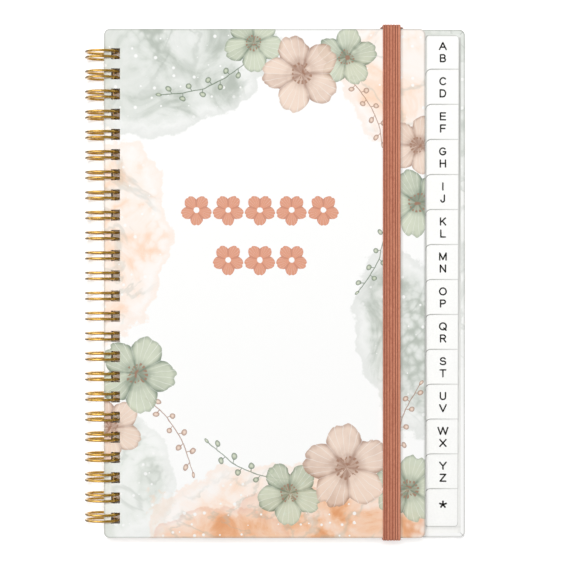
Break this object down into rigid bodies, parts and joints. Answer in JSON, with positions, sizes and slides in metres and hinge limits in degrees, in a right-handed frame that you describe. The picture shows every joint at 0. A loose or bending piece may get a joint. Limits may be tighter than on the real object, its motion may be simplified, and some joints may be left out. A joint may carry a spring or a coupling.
{
  "type": "address book",
  "caption": "Wire-bound address book: hard covers, index dividers with stepped letter tabs, ruled sheets on a gold twin-loop wire, and an elastic band that holds it shut.",
  "frame": {"origin": "middle of the bounding box, at the lowest point of the wire loops", "axes": "+X from the spine to the fore-edge, +Y from the tail to the head, +Z out of the front cover"},
  "size_m": [0.1605, 0.2172, 0.0148],
  "materials": {
    "printed_wrap": "satin",
    "grey_board": "matte",
    "lining_paper": "matte",
    "divider_card": "matte",
    "writing_paper": "matte",
    "gold_wire": "gloss",
    "elastic": "matte"
  },
  "bodies": {
    "back_cover": {"back_wrap": "printed_wrap", "back_board": "grey_board", "back_lining": "lining_paper", "wire_binding": "gold_wire"},
    "leaves_star": {"divider_star": "divider_card", "sheets_star": "writing_paper"},
    "leaves_yz": {"divider_yz": "divider_card", "sheets_yz": "writing_paper"},
    "leaves_wx": {"divider_wx": "divider_card", "sheets_wx": "writing_paper"},
    "leaves_uv": {"divider_uv": "divider_card", "sheets_uv": "writing_paper"},
    "leaves_st": {"divider_st": "divider_card", "sheets_st": "writing_paper"},
    "leaves_qr": {"divider_qr": "divider_card", "sheets_qr": "writing_paper"},
    "leaves_op": {"divider_op": "divider_card", "sheets_op": "writing_paper"},
    "leaves_mn": {"divider_mn": "divider_card", "sheets_mn": "writing_paper"},
    "leaves_kl": {"divider_kl": "divider_card", "sheets_kl": "writing_paper"},
    "leaves_ij": {"divider_ij": "divider_card", "sheets_ij": "writing_paper"},
    "leaves_gh": {"divider_gh": "divider_card", "sheets_gh": "writing_paper"},
    "leaves_ef": {"divider_ef": "divider_card", "sheets_ef": "writing_paper"},
    "leaves_cd": {"divider_cd": "divider_card", "sheets_cd": "writing_paper"},
    "leaves_ab": {"divider_ab": "divider_card", "sheets_ab": "writing_paper"},
    "front_cover": {"front_wrap": "printed_wrap", "front_board": "grey_board", "front_lining": "lining_paper"},
    "band": {"elastic_band": "elastic"}
  },
  "joints": [
    {"name": "turn_star", "type": "hinge", "parent": "back_cover", "child": "leaves_star", "pos_m": [-0.07283, 0, 0.00743], "axis": [0, -1, 0], "range_deg": [0, 180]},
    {"name": "turn_yz", "type": "hinge", "parent": "leaves_star", "child": "leaves_yz", "pos_m": [-0.07283, 0, 0.00743], "axis": [0, -1, 0], "range_deg": [0, 180]},
    {"name": "turn_wx", "type": "hinge", "parent": "leaves_yz", "child": "leaves_wx", "pos_m": [-0.07283, 0, 0.00743], "axis": [0, -1, 0], "range_deg": [0, 180]},
    {"name": "turn_uv", "type": "hinge", "parent": "leaves_wx", "child": "leaves_uv", "pos_m": [-0.07283, 0, 0.00743], "axis": [0, -1, 0], "range_deg": [0, 180]},
    {"name": "turn_st", "type": "hinge", "parent": "leaves_uv", "child": "leaves_st", "pos_m": [-0.07283, 0, 0.00743], "axis": [0, -1, 0], "range_deg": [0, 180]},
    {"name": "turn_qr", "type": "hinge", "parent": "leaves_st", "child": "leaves_qr", "pos_m": [-0.07283, 0, 0.00743], "axis": [0, -1, 0], "range_deg": [0, 180]},
    {"name": "turn_op", "type": "hinge", "parent": "leaves_qr", "child": "leaves_op", "pos_m": [-0.07283, 0, 0.00743], "axis": [0, -1, 0], "range_deg": [0, 180]},
    {"name": "turn_mn", "type": "hinge", "parent": "leaves_op", "child": "leaves_mn", "pos_m": [-0.07283, 0, 0.00743], "axis": [0, -1, 0], "range_deg": [0, 180]},
    {"name": "turn_kl", "type": "hinge", "parent": "leaves_mn", "child": "leaves_kl", "pos_m": [-0.07283, 0, 0.00743], "axis": [0, -1, 0], "range_deg": [0, 180]},
    {"name": "turn_ij", "type": "hinge", "parent": "leaves_kl", "child": "leaves_ij", "pos_m": [-0.07283, 0, 0.00743], "axis": [0, -1, 0], "range_deg": [0, 180]},
    {"name": "turn_gh", "type": "hinge", "parent": "leaves_ij", "child": "leaves_gh", "pos_m": [-0.07283, 0, 0.00743], "axis": [0, -1, 0], "range_deg": [0, 180]},
    {"name": "turn_ef", "type": "hinge", "parent": "leaves_gh", "child": "leaves_ef", "pos_m": [-0.07283, 0, 0.00743], "axis": [0, -1, 0], "range_deg": [0, 180]},
    {"name": "turn_cd", "type": "hinge", "parent": "leaves_ef", "child": "leaves_cd", "pos_m": [-0.07283, 0, 0.00743], "axis": [0, -1, 0], "range_deg": [0, 180]},
    {"name": "turn_ab", "type": "hinge", "parent": "leaves_cd", "child": "leaves_ab", "pos_m": [-0.07283, 0, 0.00743], "axis": [0, -1, 0], "range_deg": [0, 180]},
    {"name": "open_front", "type": "hinge", "parent": "leaves_ab", "child": "front_cover", "pos_m": [-0.07283, 0, 0.00743], "axis": [0, -1, 0], "range_deg": [0, 180]},
    {"name": "band_slip", "type": "slide", "parent": "back_cover", "child": "band", "axis": [1, 0, 0], "range_m": [0, 0.036], "stiffness_N_per_m": 60, "deforming": ["elastic_band"]}
  ]
}
